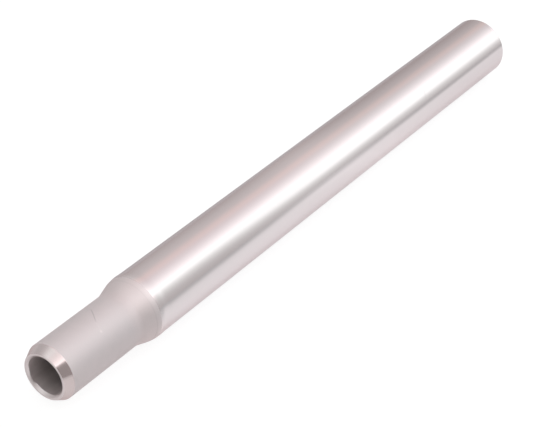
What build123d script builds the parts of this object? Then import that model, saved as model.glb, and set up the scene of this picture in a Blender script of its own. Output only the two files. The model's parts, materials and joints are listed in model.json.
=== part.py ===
from build123d import *
from math import atan, radians, tan
import os

# A straight bicycle seatpost: one drawn aluminium tube, swaged down at the saddle end to a
# neck that takes a saddle clamp. It lies on its side, with the neck towards -X.

# Driving dimensions, in millimetres and degrees

# Overall and standard sizes
post_length = 300.0
tube_diameter = 26.6
neck_diameter = 22.2

# Walls, thicker in the neck because the swage gathers metal there
tube_wall = 2.65
neck_wall = 3.25

# Swaged shoulder between the neck and the tube
neck_length = 39.8
cone_angle = 16.4
root_round = 8.0
shoulder_round = 17.4

# Crest left by the swage, just proud of the ground tube, and the run-out behind it
crest_rise = 0.12
crest_flat = 0.2
runout_length = 2.6
runout_round = 15.0

# Hollow under the shoulder
bore_cone_start = 40.8
bore_cone_angle = 16.4
bore_round = 8.0

# Neck mouth: an outer turned lead-in with a softened rim, a narrow end face and an inner deburr
lead_in_angle = 27.5
lead_in_round = 1.2
end_face_width = 0.92
mouth_deburr = 0.5

# Square-cut end that goes into the frame
base_edge_round = 0.3
base_deburr = 0.4

# Radii that follow from the driving dimensions
tube_radius = tube_diameter / 2
neck_radius = neck_diameter / 2
crest_radius = tube_radius + crest_rise
tube_bore_radius = tube_radius - tube_wall
neck_bore_radius = neck_radius - neck_wall

# Places along the post, counted from the end face of the neck
lead_in_depth = neck_wall - mouth_deburr - end_face_width
lead_in_length = lead_in_depth / tan(radians(lead_in_angle))
cone_run = abs(crest_radius - neck_radius) / tan(radians(cone_angle))
cone_end = neck_length + cone_run
bore_cone_run = abs(tube_bore_radius - neck_bore_radius) / tan(radians(bore_cone_angle))
bore_cone_end = bore_cone_start + bore_cone_run

# Root and shoulder are rounded as far as the cone's flank allows
half_turn = tan(radians(cone_angle / 2))
root_radius = min(root_round, 0.25 * cone_run / half_turn)
shoulder_radius = min(shoulder_round, 0.7 * cone_run / half_turn)
shoulder_tangent = shoulder_radius * half_turn
runout_tangent = runout_round * tan(atan(crest_rise / runout_length) / 2)
runout_start = cone_end + shoulder_tangent + crest_flat + runout_tangent
runout_end = runout_start + runout_length

# Corners of the wall's section, each with its place along the post, its radius from the
# axis and its rounding. They go from the mouth along the outside and back along the bore.
corners = [
    ((0, neck_bore_radius + mouth_deburr), 0),
    ((0, neck_radius - lead_in_depth), 0),
    ((lead_in_length, neck_radius), lead_in_round),
    ((neck_length, neck_radius), root_radius),
    ((cone_end, crest_radius), shoulder_radius),
    ((runout_start, crest_radius), runout_round),
    ((runout_end, tube_radius), runout_round),
    ((post_length, tube_radius), base_edge_round),
    ((post_length, tube_bore_radius + base_deburr), 0),
    ((post_length - base_deburr, tube_bore_radius), 0),
    ((bore_cone_end, tube_bore_radius), bore_round),
    ((bore_cone_start, neck_bore_radius), bore_round),
    ((mouth_deburr, neck_bore_radius), 0),
]

# The post's axis lies along X at the height at which its crest touches the ground. The
# section is drawn above the axis, with its origin at the neck's end face.
section_plane = Plane(origin=(-post_length / 2, 0, crest_radius), x_dir=(1, 0, 0), z_dir=(0, -1, 0))
post_axis = Axis(section_plane.origin, section_plane.x_dir)

with BuildPart() as seatpost:
    with BuildSketch(section_plane) as wall_section:
        with BuildLine() as outline:
            FilletPolyline(
                [point for point, rounding in corners],
                radius=[rounding for point, rounding in corners],
                close=True,
            )
        make_face()
    revolve(axis=post_axis)

seatpost.part.label = "seatpost"

os.makedirs("parts", exist_ok=True)
export_step(seatpost.part, "parts/seatpost.step")
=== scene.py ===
import json
import math
import bpy
import numpy as np
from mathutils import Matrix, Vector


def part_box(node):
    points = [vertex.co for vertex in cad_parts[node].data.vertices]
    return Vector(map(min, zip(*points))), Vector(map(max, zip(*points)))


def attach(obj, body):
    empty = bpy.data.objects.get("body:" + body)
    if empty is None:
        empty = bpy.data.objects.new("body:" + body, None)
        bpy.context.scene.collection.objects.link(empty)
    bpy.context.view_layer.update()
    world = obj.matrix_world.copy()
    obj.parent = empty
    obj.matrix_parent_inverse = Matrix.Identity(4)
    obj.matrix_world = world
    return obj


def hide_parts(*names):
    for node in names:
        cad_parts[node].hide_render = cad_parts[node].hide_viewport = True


# A straight aluminium seatpost lying on a pale floor. The post is one lathe-turned mesh with the
# profile of its CAD solid, cut into zones that each have their own finish.

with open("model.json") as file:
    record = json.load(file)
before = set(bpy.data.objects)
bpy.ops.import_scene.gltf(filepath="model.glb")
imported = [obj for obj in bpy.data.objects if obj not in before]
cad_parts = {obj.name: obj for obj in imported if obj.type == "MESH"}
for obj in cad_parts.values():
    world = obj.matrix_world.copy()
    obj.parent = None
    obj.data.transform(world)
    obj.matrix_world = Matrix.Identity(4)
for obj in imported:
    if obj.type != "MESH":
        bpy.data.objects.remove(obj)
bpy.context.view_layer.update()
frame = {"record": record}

# Sizes are in metres. Places along the post are counted from the end face of its neck, and
# angles go round its axis, from straight up towards -Y.

MM = 0.001

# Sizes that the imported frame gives
MOUNTS = {mount["name"]: mount for mount in frame["record"]["mounts"]}
LOW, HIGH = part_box("seatpost")
AXIS_HEIGHT = MOUNTS["seat_tube_fit"]["pos_m"][2]
TUBE_RADIUS = MOUNTS["seat_tube_fit"]["dims"]["r_mm"] * MM
NECK_RADIUS = MOUNTS["saddle_clamp_neck"]["dims"]["r_mm"] * MM
CREST_RADIUS = AXIS_HEIGHT - LOW.z
START_X = LOW.x
POST_LENGTH = HIGH.x - LOW.x

# The rest of the solid's profile
TUBE_WALL = 2.65 * MM
NECK_WALL = 3.25 * MM
NECK_LENGTH = 39.8 * MM
CONE_ANGLE = math.radians(16.4)
ROOT_ROUND = 8.0 * MM
SHOULDER_ROUND = 17.4 * MM
CREST_FLAT = 0.2 * MM
RUNOUT_LENGTH = 2.6 * MM
RUNOUT_ROUND = 15.0 * MM
BORE_CONE_START = 40.8 * MM
BORE_ROUND = 8.0 * MM
LEAD_IN_ANGLE = math.radians(27.5)
LEAD_IN_ROUND = 1.2 * MM
END_FACE_WIDTH = 0.92 * MM
MOUTH_DEBURR = 0.5 * MM
BASE_EDGE_ROUND = 0.3 * MM
BASE_DEBURR = 0.4 * MM

# Sizes that follow from them
TUBE_BORE = TUBE_RADIUS - TUBE_WALL
NECK_BORE = NECK_RADIUS - NECK_WALL
LEAD_IN_DEPTH = NECK_WALL - MOUTH_DEBURR - END_FACE_WIDTH

# Small roundings that the solid leaves sharp
BREAK = 0.08 * MM               # the broken edges beside the turned faces and the deburrs
MOUTH_EDGE_ROUND = 0.2 * MM     # the edge between the end face and the lead-in

# Where one finish ends and the next begins
BAND_START = 45.7 * MM
POLISH_START = 48.1 * MM

# The mouth was deburred by hand: one long deep sweep, which fades in and ends abruptly, and
# one light touch.
SWEEP_DEPTH = 0.65 * MM
SWEEP_RISE = (math.radians(130), math.radians(178))
SWEEP_FALL = (math.radians(220), math.radians(228.5))
TOUCH_DEPTH = 0.3 * MM
TOUCH_AT = math.radians(265)
TOUCH_SPREAD = math.radians(13)
DEBURR_WIDENING = 0.3           # how far the bevel widens on the end face, as a share of its depth

# The end face is worn back from its inner edge, most at one angle
RIM_WEAR = 0.23 * MM
RIM_WEAR_AT = math.radians(-2)
RIM_WEAR_SPREAD = math.radians(38)

# The lead-in was turned a little askew, so it is longest towards one angle
SKEW = 0.52 * MM
SKEW_AT = math.radians(-30)
SKEW_RISE = 0.3 * MM            # how far from the end face it reaches its full amount
SKEW_OFFSET = 0.06 * MM         # how far the lead-in's inner edge, on the end face, is off centre
SKEW_REACH = 5.0 * MM           # nothing farther along the post is askew
SKEW_MARGIN = -0.05             # nor is the end face farther in, as a share of the lead-in's depth

# Marks on the skin. A stroke has a place along the post and an angle at each of its ends.
SCRATCH = ((28.2 * MM, math.radians(-12)), (24.2 * MM, math.radians(17)))
SCRATCH_TAIL = ((24.2 * MM, math.radians(17)), (22.7 * MM, math.radians(37)))
SCRATCH_WIDTH = 0.22 * MM
SPECK = (22.7 * MM, math.radians(38.4))
SPECK_RADIUS = 0.42 * MM
NICK = ((235.0 * MM, math.radians(43)), (232.2 * MM, math.radians(69)))
NICK_WIDTH = 0.22 * MM
STROKE_FADE = 0.25              # how much of a stroke's angle its ends take to fade

# How finely the post is cut into faces
SEGMENTS = 288
LONGEST_STEP = 6.0 * MM
ARC_STEP = math.radians(3.5)
TINY = 0.0001 * MM


# Node helper

class Graph:
    """Adds nodes to one node tree. A call that works out a value returns its socket."""

    def __init__(self, tree):
        self.tree = tree
        tree.nodes.clear()

    def node(self, kind, inputs=None, **settings):
        made = self.tree.nodes.new(kind)
        for name, value in settings.items():
            setattr(made, name, value)
        for key, value in (inputs or {}).items():
            self.feed(made.inputs[key], value)
        return made

    def feed(self, socket, value):
        if isinstance(value, bpy.types.NodeSocket):
            self.tree.links.new(value, socket)
        else:
            socket.default_value = value

    def surface(self, shader, kind="ShaderNodeOutputMaterial"):
        self.node(kind, {"Surface": shader.outputs[0]})

    def math(self, operation, *values):
        made = self.node("ShaderNodeMath", dict(enumerate(values)), operation=operation)
        return made.outputs[0]

    def plus(self, first, second):
        return self.math("ADD", first, second)

    def minus(self, first, second):
        return self.math("SUBTRACT", first, second)

    def over(self, first, second):
        return self.math("DIVIDE", first, second)

    def times(self, first, *others):
        for other in others:
            first = self.math("MULTIPLY", first, other)
        return first

    def blend(self, first, second, share):
        """Two values in one, of which the second has this share."""
        return self.plus(self.times(first, 1.0 - share), self.times(second, share))

    def bell(self, value, middle, spread):
        """1 at the middle, dying away on both sides of it."""
        away = self.over(self.minus(value, middle), spread)
        return self.math("EXPONENT", self.times(away, away, -1.0))

    def tail(self, beyond, width):
        """1 where beyond is positive, dying away over the width where it is negative."""
        return self.math("MINIMUM", self.math("EXPONENT", self.over(beyond, width)), 1.0)

    def span(self, value, low, high, to_low=0.0, to_high=1.0, smooth=True):
        """Goes from to_low to to_high as the value goes from low to high."""
        kind = "SMOOTHSTEP" if smooth else "LINEAR"
        inputs = {"Value": value, "From Min": low, "From Max": high}
        inputs.update({"To Min": to_low, "To Max": to_high})
        return self.node("ShaderNodeMapRange", inputs, interpolation_type=kind).outputs[0]

    def vector(self, operation, *values):
        made = self.node("ShaderNodeVectorMath", dict(enumerate(values)), operation=operation)
        return made.outputs[0]

    def scaled(self, vector, factor):
        made = self.node("ShaderNodeVectorMath", {0: vector, "Scale": factor}, operation="SCALE")
        return made.outputs[0]

    def mix(self, factor, first, second):
        """Two colours in one. They are the node's inputs 6 and 7, and its output 2."""
        inputs = {0: factor, 6: first, 7: second}
        return self.node("ShaderNodeMix", inputs, data_type="RGBA", clamp_factor=True).outputs[2]

    def noise(self, where, scale, detail, roughness=0.5):
        inputs = {"Vector": where, "Scale": scale, "Detail": detail, "Roughness": roughness}
        return self.node("ShaderNodeTexNoise", inputs).outputs["Fac"]

    def marks(self, where, pitch, detail, roughness):
        """Fine marks, with their own pitch along each axis."""
        stretched = self.node("ShaderNodeMapping", {"Vector": where, "Scale": pitch}).outputs[0]
        return self.noise(stretched, 1.0, detail, roughness)

    def place(self):
        """A place on the post, whose object sits at the origin."""
        return self.node("ShaderNodeTexCoord").outputs["Object"]

    def position(self):
        """The x, y and z of a place on the floor or the dome."""
        where = self.node("ShaderNodeNewGeometry").outputs["Position"]
        return self.node("ShaderNodeSeparateXYZ", {0: where}).outputs

    def round_axis(self, y, height):
        """The angle of a place round an axis along X."""
        return self.math("ARCTAN2", self.times(y, -1.0), height)

    def unrolled(self, where):
        """The place along the post, and the angle round its axis."""
        x, y, z = self.node("ShaderNodeSeparateXYZ", {0: where}).outputs
        return self.minus(x, START_X), self.round_axis(y, self.minus(z, AXIS_HEIGHT))

    def stroke(self, along, angle, ends, width):
        """1 on a thin line between two places on the skin, 0 away from it."""
        (start, first), (end, last) = ends
        fade = (last - first) * STROKE_FADE
        line = self.span(angle, first, last, start, end, smooth=False)
        inside = self.times(
            self.span(angle, first - fade, first + fade),
            self.span(angle, last - fade, last + fade, 1.0, 0.0),
        )
        return self.times(self.bell(self.minus(along, line), 0.0, width), inside)

    def spot(self, along, angle, centre, radius):
        """1 at a place on the neck's skin, 0 away from it."""
        beside = self.times(self.minus(angle, centre[1]), NECK_RADIUS)
        return self.times(self.bell(along, centre[0], radius), self.bell(beside, 0.0, radius))

    def shaded(self, base, mark, factor):
        """The base colour, multiplied by the factor where the mark is 1."""
        return self.scaled(base, self.plus(1.0, self.times(mark, factor - 1.0)))


def colour(red, green, blue):
    return (red, green, blue, 1.0)


def grey(level):
    return colour(level, level, level)


def new_material(name):
    material = bpy.data.materials.new(name)
    material.use_nodes = True
    return material, Graph(material.node_tree)


def new_mesh(name, vertices, faces):
    mesh = bpy.data.meshes.new(name)
    mesh.from_pydata(vertices, [], faces)
    return mesh


def new_object(name, data):
    made = bpy.data.objects.new(name, data)
    bpy.context.scene.collection.objects.link(made)
    return made


def strip(first, second, count):
    """The faces between two rings of vertices, each ring given by its first vertex."""
    pairs = [(k, (k + 1) % count) for k in range(count)]
    return [(first + k, first + after, second + after, second + k) for k, after in pairs]


# Profile of the post

def left_of(direction):
    return np.array([-direction[1], direction[0]])


def rotate(vector, angle):
    cosine, sine = math.cos(angle), math.sin(angle)
    return np.array([cosine * vector[0] - sine * vector[1], sine * vector[0] + cosine * vector[1]])


def ease(value, low, high):
    share = min(1.0, max(0.0, (value - low) / (high - low)))
    return share * share * (3 - 2 * share)


def outline():
    """Corners of the section, from the mouth along the outside and back along the bore, each as
    ((x, radius), rounding, finish of the edge that leaves it)."""
    lead_in_length = LEAD_IN_DEPTH / math.tan(LEAD_IN_ANGLE)
    slope = math.tan(CONE_ANGLE)
    cone_end = NECK_LENGTH + (CREST_RADIUS - NECK_RADIUS) / slope
    shoulder_tangent = SHOULDER_ROUND * math.tan(CONE_ANGLE / 2)
    fall = math.atan((CREST_RADIUS - TUBE_RADIUS) / RUNOUT_LENGTH)
    runout_start = cone_end + shoulder_tangent + CREST_FLAT + RUNOUT_ROUND * math.tan(fall / 2)
    bore_cone_end = BORE_CONE_START + (TUBE_BORE - NECK_BORE) / slope
    return [
        ((0, NECK_BORE + MOUTH_DEBURR), BREAK, "face"),
        ((0, NECK_RADIUS - LEAD_IN_DEPTH), MOUTH_EDGE_ROUND, "chamfer"),
        ((lead_in_length, NECK_RADIUS), LEAD_IN_ROUND, "satin"),
        ((NECK_LENGTH, NECK_RADIUS), ROOT_ROUND, "satin"),
        ((cone_end, CREST_RADIUS), SHOULDER_ROUND, "polished"),
        ((runout_start, CREST_RADIUS), RUNOUT_ROUND, "polished"),
        ((runout_start + RUNOUT_LENGTH, TUBE_RADIUS), RUNOUT_ROUND, "polished"),
        ((POST_LENGTH, TUBE_RADIUS), BASE_EDGE_ROUND, "face"),
        ((POST_LENGTH, TUBE_BORE + BASE_DEBURR), BREAK, "deburr"),
        ((POST_LENGTH - BASE_DEBURR, TUBE_BORE), BREAK, "bore"),
        ((bore_cone_end, TUBE_BORE), BORE_ROUND, "bore"),
        ((BORE_CONE_START, NECK_BORE), BORE_ROUND, "bore"),
        ((MOUTH_DEBURR, NECK_BORE), BREAK, "deburr"),
    ]


def rounded(corners):
    """Each corner of the closed outline as (arc, finish of the edge that leaves it). The arc is a
    list of ((x, radius), normal)."""
    arcs = []
    for i, (corner, rounding, finish) in enumerate(corners):
        here = np.array(corner)
        before = here - np.array(corners[i - 1][0])
        after = np.array(corners[(i + 1) % len(corners)][0]) - here
        before /= np.linalg.norm(before)
        after /= np.linalg.norm(after)
        turn = math.atan2(before[0] * after[1] - before[1] * after[0], before @ after)
        bend = math.copysign(rounding, turn)
        centre = here - rounding * math.tan(abs(turn) / 2) * before + bend * left_of(before)
        steps = max(2, math.ceil(abs(turn) / ARC_STEP))
        normals = [rotate(left_of(before), turn * step / steps) for step in range(steps + 1)]
        arcs.append(([(centre - bend * normal, normal) for normal in normals], finish))
    return arcs


def profile_rings():
    """The post's rings, as ((x, radius), normal in the section, finish up to the next ring)."""
    rings = []
    arcs = rounded(outline())
    for i, (arc, finish) in enumerate(arcs):
        arriving = arcs[i - 1][1]
        half = len(arc) // 2
        for step, (spot, normal) in enumerate(arc):
            rings.append((spot, normal, arriving if step < half else finish))
        next_spot = arcs[(i + 1) % len(arcs)][0][0][0]
        last_spot, last_normal = arc[-1]
        gap = next_spot - last_spot
        cuts = math.ceil(np.linalg.norm(gap) / LONGEST_STEP)
        for cut in range(1, cuts):
            rings.append((last_spot + gap * cut / cuts, last_normal, finish))
    return rings


def with_seam(rings, at):
    """Adds a ring on the outside where one finish gives way to the next."""
    for i, (spot, normal, finish) in enumerate(rings[:-1]):
        next_spot, next_normal, _ = rings[i + 1]
        if spot[0] < at - TINY and next_spot[0] > at + TINY and normal[1] > 0:
            share = (at - spot[0]) / (next_spot[0] - spot[0])
            middle = spot + share * (next_spot - spot)
            lean = normal + share * (next_normal - normal)
            seam = (middle, lean / np.linalg.norm(lean), finish)
            return rings[: i + 1] + [seam] + rings[i + 1 :]
    return rings


def zone(finish, x):
    """The finish at a place along the post. The outer skin has three, one after another."""
    if finish not in ("satin", "polished"):
        return finish
    if x < BAND_START:
        return "satin"
    return "band" if x < POLISH_START else "polished"


# What hand and use did to the mouth

def hand_deburr(angle):
    """How much deeper than the plain bevel the mouth is deburred at this angle."""
    sweep = SWEEP_DEPTH * ease(angle, *SWEEP_RISE) * (1 - ease(angle, *SWEEP_FALL))
    touch = TOUCH_DEPTH * math.exp(-(((angle - TOUCH_AT) / TOUCH_SPREAD) ** 2))
    return sweep + touch


def rim_wear(angle):
    """How far the end face is worn back at this angle."""
    away = math.remainder(angle - RIM_WEAR_AT, 2 * math.pi)
    return RIM_WEAR * math.exp(-((away / RIM_WEAR_SPREAD) ** 2))


def deburred(x, radius, angle):
    """A ring point, moved where it is on the mouth's inner edges."""
    if x < MOUTH_DEBURR + BREAK and radius < NECK_BORE + MOUTH_DEBURR + BREAK:
        depth = hand_deburr(angle)
        if radius > NECK_BORE + MOUTH_DEBURR / 2:
            radius += depth * DEBURR_WIDENING + rim_wear(angle)
        else:
            x += depth
    return x, radius


def askew(x, radius, normal, angle):
    """A ring point, moved where it is on the lead-in, and its normal (along, outwards, round)."""
    share = (radius - NECK_RADIUS + LEAD_IN_DEPTH) / LEAD_IN_DEPTH
    if share < SKEW_MARGIN or x > SKEW_REACH:
        return x, radius, (normal[0], normal[1], 0.0)
    share = min(1.0, max(0.0, share))
    off_centre = math.cos(angle - SKEW_AT)
    outwards = normal[1] - normal[0] * SKEW * off_centre / LEAD_IN_DEPTH
    around = normal[0] * share * SKEW * math.sin(angle - SKEW_AT) / radius
    x += share * SKEW * off_centre * ease(x, 0.0, SKEW_RISE)
    radius -= (1 - share) * SKEW_OFFSET * off_centre
    return x, radius, (normal[0], outwards, around)


# The post's mesh

def turned_ring(spot, normal):
    """The points of one ring round the post, and their normals."""
    points, normals = [], []
    for k in range(SEGMENTS):
        angle = 2 * math.pi * k / SEGMENTS
        x, radius = deburred(*spot, angle)
        x, radius, (ahead, outwards, around) = askew(x, radius, normal, angle)
        sine, cosine = math.sin(angle), math.cos(angle)
        points.append((START_X + x, -sine * radius, AXIS_HEIGHT + cosine * radius))
        facing = np.array([
            ahead,
            -sine * outwards - cosine * around,
            cosine * outwards - sine * around,
        ])
        normals.append(facing / np.linalg.norm(facing))
    return points, normals


def build_post(materials):
    rings = profile_rings()
    for at in (BAND_START, POLISH_START):
        rings = with_seam(rings, at)
    names = list(materials)
    vertices, normals, faces, slots = [], [], [], []
    for i, (spot, normal, finish) in enumerate(rings):
        points, facings = turned_ring(spot, normal)
        vertices += points
        normals += facings
        after = (i + 1) % len(rings)
        faces += strip(i * SEGMENTS, after * SEGMENTS, SEGMENTS)
        middle = (spot[0] + rings[after][0][0]) / 2
        slots += [names.index(zone(finish, middle))] * SEGMENTS
    mesh = new_mesh("seatpost_finish", vertices, faces)
    for name in names:
        mesh.materials.append(materials[name])
    mesh.polygons.foreach_set("material_index", slots)
    mesh.polygons.foreach_set("use_smooth", [True] * len(faces))
    mesh.update()
    mesh.normals_split_custom_set_from_vertices(normals)
    return new_object("seatpost_finish", mesh)


# Finishes. Marks have their pitch along each axis in cycles per metre, then their noise's detail
# and roughness. Tones multiply the base colour, and a pair gives its lowest and highest value.

EDGE_TINT = (0.88, 0.80, 0.80)
MARKS_SPREAD = (0.3, 0.7)       # the values between which most of a noise lies

ALLOY = (0.74, 0.665, 0.665)
POLISH_EDGE_TINT = (0.82, 0.745, 0.745)
POLISH_RINGS = ((2600, 60, 60), 4.0, 0.6)
POLISH_CLOUDS = (70.0, 2.0)
POLISH_CLOUDINESS = 0.3
POLISH_TONES = (0.985, 1.015)
POLISH_ROUGHNESS = (0.13, 0.18)
POLISH_MARK_DEPTH = 0.0012 * MM
NICK_SHADE = 0.94
NICK_ROUGHENING = 0.15

NECK_ALLOY = (0.722, 0.665, 0.669)
NECK_FADES = (34.0 * MM, 42.0 * MM)
SATIN_MOTTLE = (300.0, 5.0, 0.65)
SATIN_GRAIN = ((1500, 2600, 2600), 3.0, 0.6)
SATIN_GRAININESS = 0.4
SATIN_TONES = (0.92, 1.10)
SATIN_ROUGHNESS = (0.60, 0.70)
SATIN_GRAIN_DEPTH = 0.006 * MM
SCRATCH_SHADE = 0.80
SCRATCH_TAIL_SHADE = 1.03
SPECK_SHADE = 1.13
CONE_SHINE = 0.10               # how much less rough the cone is than the neck
CONE_SHINE_ALONG = (37.0 * MM, 43.0 * MM)
# Painted shade on the lower side of the cone and the band: the angles over which it sets in, and
# its tone on the cone
SHADED_BELOW = (math.radians(60), math.radians(85))
CONE_PAINTED_SHADE = 0.965

BAND_RINGS = ((5200, 240, 240), 3.0, 0.6)
BAND_TONES = (0.985, 1.03)
BAND_ROUGHNESS = (0.48, 0.58)
BAND_SHINE = 0.07               # how much less rough the band is where the polish begins
BAND_RING_DEPTH = 0.004 * MM
# Tone of the painted shade on the band's lower side
BAND_PAINTED_SHADE = 0.93
BAND_LINES = (                  # (middle, spread) along the post, and tone
    ((BAND_START + 0.25 * MM, 0.3 * MM), 0.955),
    ((POLISH_START, 0.16 * MM), 0.92),
)

CUT_ALLOY = (0.745, 0.642, 0.638)
DEBURR_ALLOY = (0.735, 0.665, 0.665)
TURNED_SPIRAL = ((9000, 120, 120), 2.0, 0.5)
TURNED_TONES = (0.96, 1.03)
TURNED_DEPTH = 0.002 * MM
TURNED_VARIES = (0.85, 1.15)    # shares of the roughness
LEAD_IN_ROUGHNESS = 0.13
FACE_ROUGHNESS = 0.34
DEBURR_ROUGHNESS = 0.36
# Painted shade on the deburr where its sweep ends, and a painted dark reflection on the end face
SWEEP_PAINTED_SHADE = (math.radians(-142), math.radians(13), 0.72)      # patches of painted shade: angle, spread and tone
RIM_PAINTED_SHADE = (math.radians(61), math.radians(14), 0.76)          # and tone

BORE_ALLOY = (0.90, 0.835, 0.83)
BORE_LINES = ((40, 1800, 1800), 3.0, 0.6)
BORE_TONES = (0.90, 1.06)
BORE_ROUGHNESS = (0.50, 0.65)
BORE_LINE_DEPTH = 0.01 * MM
# Painted shade in the bore: the depths from the mouth between which it sets in, and its tone
BORE_SHADE_ALONG = (1.0 * MM, 10.0 * MM)
BORE_PAINTED_SHADE = 0.71


def metal(name, finish, edge_tint=EDGE_TINT):
    """A metal. Its finish gives the colour, the roughness, and the marks' height and depth."""
    material, graph = new_material(name)
    skin, rough, height, depth = finish(graph)
    marks = graph.node("ShaderNodeBump", {"Height": height, "Distance": depth})
    graph.surface(graph.node("ShaderNodeBsdfPrincipled", {
        "Base Color": skin,
        "Metallic": 1.0,
        "Roughness": rough,
        "Specular Tint": colour(*edge_tint),
        "Normal": marks.outputs[0],
    }))
    return material


def toned(graph, marks, base, tones):
    """The base colour, which varies between two tones with the marks."""
    low, high = [colour(*[min(1.0, channel * tone) for channel in base]) for tone in tones]
    return graph.mix(marks, low, high)


def roughened(graph, marks, ends):
    """The roughness, which varies between two values with the marks."""
    return graph.span(marks, *MARKS_SPREAD, *ends, smooth=False)


def polished(graph):
    """Ground and polished tube: fine marks that run round it, and a slow cloudiness."""
    where = graph.place()
    rings = graph.marks(where, *POLISH_RINGS)
    blend = graph.blend(rings, graph.noise(where, *POLISH_CLOUDS), POLISH_CLOUDINESS)
    nick = graph.stroke(*graph.unrolled(where), NICK, NICK_WIDTH)
    skin = graph.shaded(toned(graph, blend, ALLOY, POLISH_TONES), nick, NICK_SHADE)
    rough = graph.plus(
        roughened(graph, blend, POLISH_ROUGHNESS), graph.times(nick, NICK_ROUGHENING)
    )
    return skin, rough, rings, POLISH_MARK_DEPTH


def satin(graph):
    """As-swaged skin: matt, softly mottled and grained, with painted shade on the cone's lower
    side.
    """
    where = graph.place()
    along, angle = graph.unrolled(where)
    grain = graph.marks(where, *SATIN_GRAIN)
    blend = graph.blend(graph.noise(where, *SATIN_MOTTLE), grain, SATIN_GRAININESS)
    on_cone = graph.span(along, *NECK_FADES)
    base = graph.mix(on_cone, colour(*NECK_ALLOY), colour(*ALLOY))
    skin = graph.scaled(base, graph.span(blend, 0.0, 1.0, *SATIN_TONES, smooth=False))
    # Painted shade: the cone's lower side is darker
    below = graph.times(graph.span(angle, *SHADED_BELOW), on_cone)
    for mark, shade in (
        (graph.stroke(along, angle, SCRATCH, SCRATCH_WIDTH), SCRATCH_SHADE),
        (graph.stroke(along, angle, SCRATCH_TAIL, SCRATCH_WIDTH), SCRATCH_TAIL_SHADE),
        (graph.spot(along, angle, SPECK, SPECK_RADIUS), SPECK_SHADE),
        (below, CONE_PAINTED_SHADE),
    ):
        skin = graph.shaded(skin, mark, shade)
    shinier = graph.span(along, *CONE_SHINE_ALONG, 0.0, CONE_SHINE)
    rough = graph.minus(roughened(graph, blend, SATIN_ROUGHNESS), shinier)
    return skin, rough, grain, SATIN_GRAIN_DEPTH


def band(graph):
    """The narrow abraded band where the grinding ran out on the shoulder."""
    where = graph.place()
    along, angle = graph.unrolled(where)
    rings = graph.marks(where, *BAND_RINGS)
    skin = toned(graph, rings, ALLOY, BAND_TONES)
    for line, shade in BAND_LINES:
        skin = graph.shaded(skin, graph.bell(along, *line), shade)
    # Painted shade: the band's lower side is darker
    skin = graph.shaded(skin, graph.span(angle, *SHADED_BELOW), BAND_PAINTED_SHADE)
    shinier = graph.span(along, BAND_START, POLISH_START, 0.0, BAND_SHINE)
    rough = graph.minus(roughened(graph, rings, BAND_ROUGHNESS), shinier)
    return skin, rough, rings, BAND_RING_DEPTH


def turned(roughness, base, painted_patch=None):
    """A lathe-turned face, with a fine tool spiral and, where one is given, a darker patch of
    painted shade.
    """
    def finish(graph):
        where = graph.place()
        spiral = graph.marks(where, *TURNED_SPIRAL)
        skin = toned(graph, spiral, base, TURNED_TONES)
        # painted shade: darker round one angle
        if painted_patch:
            middle, spread, shade = painted_patch
            angle = graph.unrolled(where)[1]
            skin = graph.shaded(skin, graph.bell(angle, middle, spread), shade)
        rough = roughened(graph, spiral, [roughness * share for share in TURNED_VARIES])
        return skin, rough, spiral, TURNED_DEPTH
    return finish


def bore(graph):
    """Drawn bore: dull, with marks along its length, and dark from painted shade that grows deeper
    in from the mouth.
    """
    where = graph.place()
    lines = graph.marks(where, *BORE_LINES)
    # painted shade, darker deeper in
    deeper_shade = graph.span(graph.unrolled(where)[0], *BORE_SHADE_ALONG)
    skin = graph.shaded(toned(graph, lines, BORE_ALLOY, BORE_TONES), deeper_shade, BORE_PAINTED_SHADE)
    return skin, roughened(graph, lines, BORE_ROUGHNESS), lines, BORE_LINE_DEPTH


def finishes():
    return {
        "satin": metal("satin_as_swaged", satin),
        "band": metal("abraded_band", band),
        "polished": metal("polished_tube", polished, POLISH_EDGE_TINT),
        "chamfer": metal("turned_lead_in", turned(LEAD_IN_ROUGHNESS, CUT_ALLOY)),
        "face": metal("turned_end_face", turned(FACE_ROUGHNESS, ALLOY, RIM_PAINTED_SHADE)),
        "deburr": metal("reamed_edge", turned(DEBURR_ROUGHNESS, DEBURR_ALLOY, SWEEP_PAINTED_SHADE)),
        "bore": metal("drawn_bore", bore),
    }


# The dome of soft light. Places along it are x, and angles go round the X axis from straight up
# towards the camera's side. Levels are multiples of white. A name in _ALONG gives the two places
# between which one value gives way to the next, and a name in _AT a middle and a spread.

DOME_RADIUS = 1.0
DOME_ROWS = 24
DOME_COLUMNS = 96

# The wall of light behind the post: its level to the left and to the right, a paler spot, and
# a change on its left part, from dimmer to brighter
BACK_WALL = (0.53, 0.485)
BACK_ALONG = (0.69, 0.73)
BACK_BUMP = 0.10
BACK_BUMP_AT = (0.697, 0.03)
BACK_LEFT = (-0.09, 0.08)
BACK_LEFT_RISE_ALONG = (-0.12, 0.07)
BACK_LEFT_END_ALONG = (0.36, 0.56)

# The wall in front of the post, and a dim curtain that closes it to the left
FRONT_WALL = 0.545
CURTAIN = 0.38
WALL_ALONG = (-0.30, 0.45)
CURTAIN_EDGE_ALONG = (-0.32, -0.12)
CURTAIN_FOOT = math.radians(36)
CURTAIN_FOOT_FADE = math.radians(3)
CURTAIN_PALER = (0.20, 0.285, 0.285)
CURTAIN_PALER_AT = (math.radians(-18), math.radians(18))
CURTAIN_PALER_ALONG = (-0.25, 0.05)

# The glow between the two walls, which fades away above its top and below its foot
GLOW = 1.55
GLOW_TOP = math.radians(31)
GLOW_TOP_FADE = (math.radians(42), math.radians(36))
GLOW_FOOT = (math.radians(43.5), math.radians(62.5))
GLOW_FOOT_FADE = math.radians(15)
GLOW_FOOT_ALONG = (0.595, 0.685)
SHOULDER_GLOW = 0.20            # how much more it glows where the shoulder mirrors it
SHOULDER_AT = (0.15, 0.25)

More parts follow.
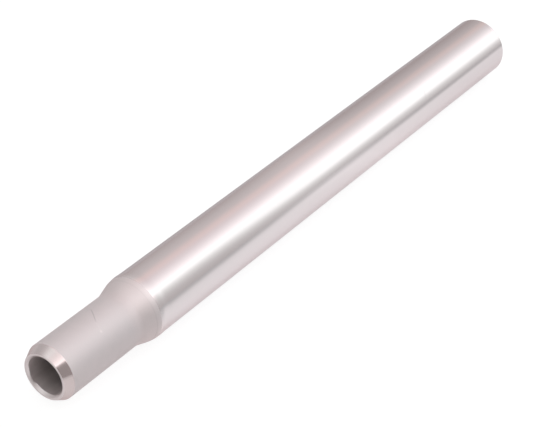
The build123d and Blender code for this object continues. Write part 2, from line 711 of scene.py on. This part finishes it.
# Tints multiply a level. WARM is added to the light, and what PINK names is taken from it.
CURTAIN_TINT = (1.0, 0.96, 0.95)
BACK_TINT_LEFT = (0.985, 1.015, 1.015)
BACK_TINT = (1.005, 0.985, 0.978)
GLOW_TINT_LEFT = (0.965, 0.955, 0.955)
GLOW_TINT_TOP = (0.97, 1.0, 1.02)
GLOW_TINT_FOOT = (0.88, 1.0, 1.0)
TINT_ALONG = (0.30, 0.56)
WARM = (0.12, 0.04, 0.01)
WARM_AT = (math.radians(-20), math.radians(12))
PINK_LEFT = (0.05, 0.088, 0.068)
PINK_MIDDLE = (0.07, 0.098, 0.082)
PINK_RIGHT = (0.045, 0.04, 0.028)
PINK_AT = (math.radians(-4), math.radians(26))
PINK_LEFT_ALONG = (0.645, 0.675)
PINK_RIGHT_ALONG = (0.69, 0.72)


def circle(radius, count):
    angles = [2 * math.pi * k / count for k in range(count)]
    return [(radius * math.cos(angle), radius * math.sin(angle)) for angle in angles]


def dome():
    """A light dome over the floor: one broad soft glow above and in front of the post."""
    vertices = [(0, 0, DOME_RADIUS)]
    for row in range(1, DOME_ROWS + 1):
        down = math.pi / 2 * row / DOME_ROWS
        height = DOME_RADIUS * math.cos(down)
        vertices += [(x, y, height) for x, y in circle(DOME_RADIUS * math.sin(down), DOME_COLUMNS)]
    faces = [(0, 1 + (k + 1) % DOME_COLUMNS, 1 + k) for k in range(DOME_COLUMNS)]
    for row in range(DOME_ROWS - 1):
        base = 1 + row * DOME_COLUMNS
        faces += strip(base, base + DOME_COLUMNS, DOME_COLUMNS)
    mesh = new_mesh("light_dome", vertices, faces)
    mesh.materials.append(dome_light())
    shell = new_object("light_dome", mesh)
    shell.visible_camera = False
    shell.visible_shadow = False


def back_wall(graph, x):
    wall = graph.span(x, *BACK_ALONG, *BACK_WALL)
    wall = graph.plus(wall, graph.times(graph.bell(x, *BACK_BUMP_AT), BACK_BUMP))
    left = graph.span(x, *BACK_LEFT_RISE_ALONG, *BACK_LEFT)
    return graph.plus(wall, graph.times(left, graph.span(x, *BACK_LEFT_END_ALONG, 1.0, 0.0)))


def dome_glow(graph, x, angle, open_side, wall):
    """How much brighter than the wall the glow is. open_side is 0 behind the curtain, else 1."""
    top_fade = graph.span(x, *BACK_ALONG, *GLOW_TOP_FADE)
    foot = graph.span(x, *GLOW_FOOT_ALONG, *GLOW_FOOT, smooth=False)
    foot = graph.span(open_side, 0.0, 1.0, CURTAIN_FOOT, foot, smooth=False)
    foot_fade = graph.span(open_side, 0.0, 1.0, CURTAIN_FOOT_FADE, GLOW_FOOT_FADE, smooth=False)
    above = graph.tail(graph.minus(angle, GLOW_TOP), top_fade)
    below = graph.tail(graph.minus(foot, angle), foot_fade)
    shoulder = graph.plus(1.0, graph.times(graph.bell(x, *SHOULDER_AT), SHOULDER_GLOW))
    return graph.times(graph.times(above, below, graph.minus(GLOW, wall)), shoulder)


def pink_tint(graph, x):
    tint = graph.mix(graph.span(x, *PINK_LEFT_ALONG), colour(*PINK_LEFT), colour(*PINK_MIDDLE))
    return graph.mix(graph.span(x, *PINK_RIGHT_ALONG), tint, colour(*PINK_RIGHT))


def dome_light():
    material, graph = new_material("dome_glow")
    x, y, z = graph.position()
    angle = graph.round_axis(y, z)
    open_side = graph.span(x, *CURTAIN_EDGE_ALONG)
    front = graph.span(angle, GLOW_TOP, GLOW_FOOT[0])
    right = graph.span(x, *TINT_ALONG)

    back = back_wall(graph, x)
    front_wall = graph.span(x, *WALL_ALONG, CURTAIN, FRONT_WALL)
    wall = graph.plus(back, graph.times(front, graph.minus(front_wall, back)))
    wall_tint = graph.mix(right, colour(*BACK_TINT_LEFT), colour(*BACK_TINT))
    wall_tint = graph.mix(front, wall_tint, grey(1))
    wall_tint = graph.mix(open_side, colour(*CURTAIN_TINT), wall_tint)

    glow_tint = graph.mix(front, colour(*GLOW_TINT_TOP), colour(*GLOW_TINT_FOOT))
    glow_tint = graph.mix(right, colour(*GLOW_TINT_LEFT), glow_tint)
    lit = graph.scaled(glow_tint, dome_glow(graph, x, angle, open_side, wall))
    warm = graph.times(graph.bell(angle, *WARM_AT), open_side)
    lit = graph.vector("ADD", lit, graph.scaled(WARM, warm))
    paler = graph.times(
        graph.bell(angle, *CURTAIN_PALER_AT), graph.span(x, *CURTAIN_PALER_ALONG, 1.0, 0.0)
    )
    lit = graph.vector("ADD", lit, graph.scaled(CURTAIN_PALER, paler))
    pink = graph.times(graph.bell(angle, *PINK_AT), open_side)
    lit = graph.vector("SUBTRACT", lit, graph.scaled(pink_tint(graph, x), pink))

    level = graph.vector("ADD", graph.scaled(wall_tint, wall), lit)
    graph.surface(graph.node("ShaderNodeEmission", {"Color": level}))
    return material


# The floor is a white sheet. The camera sees it evenly white but for the post's shadow.
# Reflections see painted shade and painted light in its colour and glow: darker away from the
# light, behind the post and under its neck and cone, and paler in a few places.

FLOOR_SIDES = 96
CAMERA_SHADE = 0.22             # how much of the white a shadow can take
CAMERA_WHITE = 0.85             # the rest of it, which glows
SHEET_LIT = 0.53                # the same two for reflections
SHEET_OWN = 0.505
SHEET_TINT = (0.985, 1.022, 1.038)
SHEET_TINT_ALONG = (-0.10, -0.084)

# In front of the post painted shade darkens it towards the camera, between two values of y that
# shift from one end of the post to the other, with a strip of painted light in it. A place along
# the post leans by SKEW times y.
FRONT_SKEW = 0.92
FRONT_ALONG = (-0.20, 0.14)
FRONT_FROM = (-0.17, -0.125)
FRONT_TO = (0.0, -0.06)
FRONT_SHADE = 0.575
FRONT_PALER = 0.205
FRONT_PALER_AT = (0.018, 0.052)

# Painted shade behind the post, and painted light farther behind it
BEHIND_FROM_TO = (0.0, 0.03)
BEHIND_SHADE = 0.6
FAR_FROM_TO = (0.04, 0.12)
FAR_PALER = 1.12

# Painted shade and light along the post: before its mouth, below its neck and cone, at its middle
# and at its far end
MOUTH_ALONG = (-0.165, -0.152)
MOUTH_PALER = 1.09
MOUTH_BEHIND_SHADE = 0.88
NECK_SKEW = 0.9
NECK_ALONG = (-0.125, -0.110)
NECK_SHADE = 0.80
NECK_SHADE_FROM_TO = (-0.12, -0.06)
CONE_SHADE = 0.13
CONE_SHADE_AT = (-0.100, 0.010)
MIDDLE_PALER = 0.05
MIDDLE_PALER_AT = (0.06, 0.024)
END_ALONG = (0.10, 0.16)
END_SHADE = 0.955

# A strip of painted light close to the tube
NEAR_PALER = 0.035
NEAR_AT = (-0.017, 0.008)
NEAR_ALONG = (-0.10, -0.08)


def front_shade(graph, x, y):
    leaning = graph.plus(x, graph.times(y, FRONT_SKEW))
    shade = graph.plus(
        graph.times(graph.bell(leaning, *FRONT_PALER_AT), FRONT_PALER), FRONT_SHADE
    )
    ends = [graph.span(leaning, *FRONT_ALONG, *pair) for pair in (FRONT_FROM, FRONT_TO)]
    return graph.span(y, *ends, shade, 1.0)


def neck_shades(graph, x, y):
    """Two painted shades that only the neck and the cone mirror: one along both, and a painted
    shadow below the cone.
    """
    leaning = graph.plus(x, graph.times(y, NECK_SKEW))
    neck_shade = graph.span(y, *NECK_SHADE_FROM_TO, 1.0, NECK_SHADE)
    painted_cone_shadow = graph.times(
        graph.bell(x, *CONE_SHADE_AT), graph.span(leaning, *NECK_ALONG, CONE_SHADE, 0.0)
    )
    return graph.span(leaning, *NECK_ALONG, neck_shade, 1.0), graph.minus(1.0, painted_cone_shadow)


def sheet_painted_shade(graph, x, y):
    """The painted shade and light of the sheet, as reflections see it."""
    behind_shade = graph.span(x, *MOUTH_ALONG, MOUTH_BEHIND_SHADE, BEHIND_SHADE)
    middle = graph.times(graph.bell(x, *MIDDLE_PALER_AT), MIDDLE_PALER)
    near = graph.times(graph.bell(y, *NEAR_AT), graph.span(x, *NEAR_ALONG, 0.0, NEAR_PALER))
    neck, cone = neck_shades(graph, x, y)
    return graph.times(
        front_shade(graph, x, y),
        graph.span(y, *BEHIND_FROM_TO, 1.0, behind_shade),
        graph.plus(1.0, middle),
        graph.span(y, *FAR_FROM_TO, 1.0, FAR_PALER),
        neck,
        graph.span(x, *END_ALONG, 1.0, END_SHADE),
        graph.span(x, *MOUTH_ALONG, MOUTH_PALER, 1.0),
        cone,
        graph.plus(1.0, near),
    )


def paper(graph, lit, own):
    """A sheet that reflects one colour and glows with another."""
    reflects = graph.node("ShaderNodeBsdfDiffuse", {"Color": lit})
    glows = graph.node("ShaderNodeEmission", {"Color": own})
    return graph.node("ShaderNodeAddShader", {0: reflects.outputs[0], 1: glows.outputs[0]})


def floor():
    vertices = [(x, y, 0) for x, y in circle(DOME_RADIUS, FLOOR_SIDES)]
    mesh = new_mesh("floor", vertices, [tuple(range(FLOOR_SIDES))])
    sheet = new_object("floor", mesh)
    material, graph = new_material("white_sheet")
    x, y = graph.position()[:2]
    shade = sheet_painted_shade(graph, x, y)
    tint = graph.mix(graph.span(x, *SHEET_TINT_ALONG), grey(1), colour(*SHEET_TINT))
    levels = [graph.scaled(tint, graph.times(shade, level)) for level in (SHEET_LIT, SHEET_OWN)]
    mirrored = paper(graph, *levels)
    seen = paper(graph, grey(CAMERA_SHADE), grey(CAMERA_WHITE))
    to_camera = graph.node("ShaderNodeLightPath").outputs["Is Camera Ray"]
    graph.surface(graph.node(
        "ShaderNodeMixShader", {0: to_camera, 1: mirrored.outputs[0], 2: seen.outputs[0]}
    ))
    mesh.materials.append(material)


# The room and the camera

ROOM_GREY = 0.6
CAMERA_PLACE = (-0.4639, -0.3205, 0.3740)
CAMERA_TURN = (56.46, 0.0, -54.27)      # degrees
CAMERA_LENS = 110.93
CAMERA_SENSOR = 36.0
CAMERA_NEAREST = 0.01


def surroundings():
    """White to the camera, a plain grey room to everything else."""
    world = bpy.data.worlds.new("room")
    bpy.context.scene.world = world
    world.use_nodes = True
    graph = Graph(world.node_tree)
    to_camera = graph.node("ShaderNodeLightPath").outputs["Is Camera Ray"]
    shade = graph.mix(to_camera, grey(ROOM_GREY), grey(1))
    graph.surface(graph.node("ShaderNodeBackground", {"Color": shade}), "ShaderNodeOutputWorld")


def camera():
    data = bpy.data.cameras.new("camera")
    data.sensor_width = CAMERA_SENSOR
    data.lens = CAMERA_LENS
    data.clip_start = CAMERA_NEAREST
    eye = new_object("camera", data)
    eye.location = CAMERA_PLACE
    eye.rotation_euler = [math.radians(turn) for turn in CAMERA_TURN]
    bpy.context.scene.camera = eye


# The scene

bpy.context.scene.view_settings.view_transform = "Standard"
camera()
surroundings()
floor()
dome()

post = build_post(finishes())
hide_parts("seatpost")
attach(post, "root")
